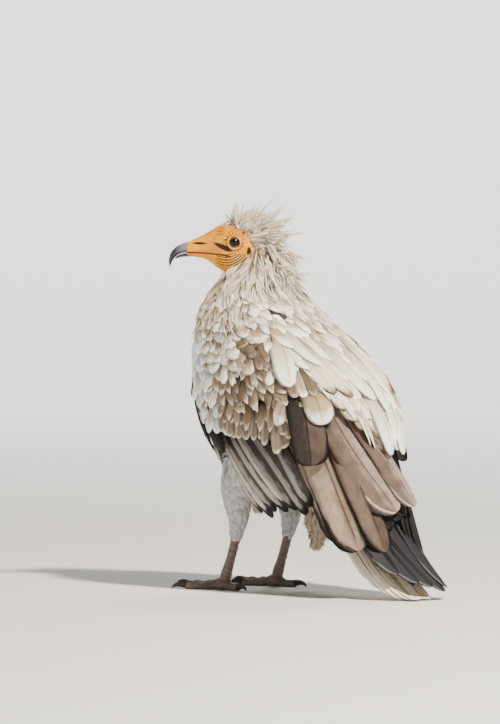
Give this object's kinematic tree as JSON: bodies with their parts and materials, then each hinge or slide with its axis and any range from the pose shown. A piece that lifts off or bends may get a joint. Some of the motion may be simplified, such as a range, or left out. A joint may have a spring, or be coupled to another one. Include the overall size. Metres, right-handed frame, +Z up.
{
  "type": "vulture",
  "caption": "Standing vulture at life size: bare orange face with a long hooked bill, shaggy cream crest and neck, folded wings and a tail that reaches the floor.",
  "frame": {"origin": "middle of the base of the model's box, on the floor that it stands on", "axes": "+Z up; -Y the way the body faces; +X the bird's left, to which its head is turned"},
  "size_m": [0.1756, 0.3628, 0.4491],
  "materials": {
    "plumage": "soft cream body feathers, matte",
    "coverts": "cream wing coverts with brown centres, matte",
    "flight": "blackish flight feathers with silver-grey outer webs, satin",
    "tertial": "brown tertial feathers with pale edges, satin",
    "face": "bare wrinkled yellow-orange skin, satin",
    "horn": "dark blue-grey bill horn, satin",
    "eye": "dark brown eye, wet gloss",
    "leg": "grey-pink scaled skin, satin",
    "claw": "black claws, satin"
  },
  "bodies": {
    "root": {"bill_hook": "horn", "bill_lower_tip": "horn", "breast": "plumage", "claw_left_hind": "claw", "claw_left_inner": "claw", "claw_left_middle": "claw", "claw_left_outer": "claw", "claw_right_hind": "claw", "claw_right_inner": "claw", "claw_right_middle": "claw", "claw_right_outer": "claw", "crest": "plumage", "eye_left": "eye", "eye_right": "eye", "foot_left": "leg", "foot_right": "leg", "head": "face", "lower_jaw": "face", "mantle": "plumage", "neck": "plumage", "ruff": "plumage", "tail": "plumage", "tail_coverts": "plumage", "tarsus_left": "leg", "tarsus_right": "leg", "thigh_left": "plumage", "thigh_right": "plumage", "toe_left_hind": "leg", "toe_left_inner": "leg", "toe_left_middle": "leg", "toe_left_outer": "leg", "toe_right_hind": "leg", "toe_right_inner": "leg", "toe_right_middle": "leg", "toe_right_outer": "leg", "trousers_left": "plumage", "trousers_right": "plumage", "trunk": "plumage", "wing_left_coverts": "coverts", "wing_left_primaries": "flight", "wing_left_primary_coverts": "flight", "wing_left_scapulars": "plumage", "wing_left_secondaries": "flight", "wing_left_tertials": "tertial", "wing_right_coverts": "coverts", "wing_right_primaries": "flight", "wing_right_primary_coverts": "flight", "wing_right_scapulars": "plumage", "wing_right_secondaries": "flight", "wing_right_tertials": "tertial"}
  },
  "joints": []
}
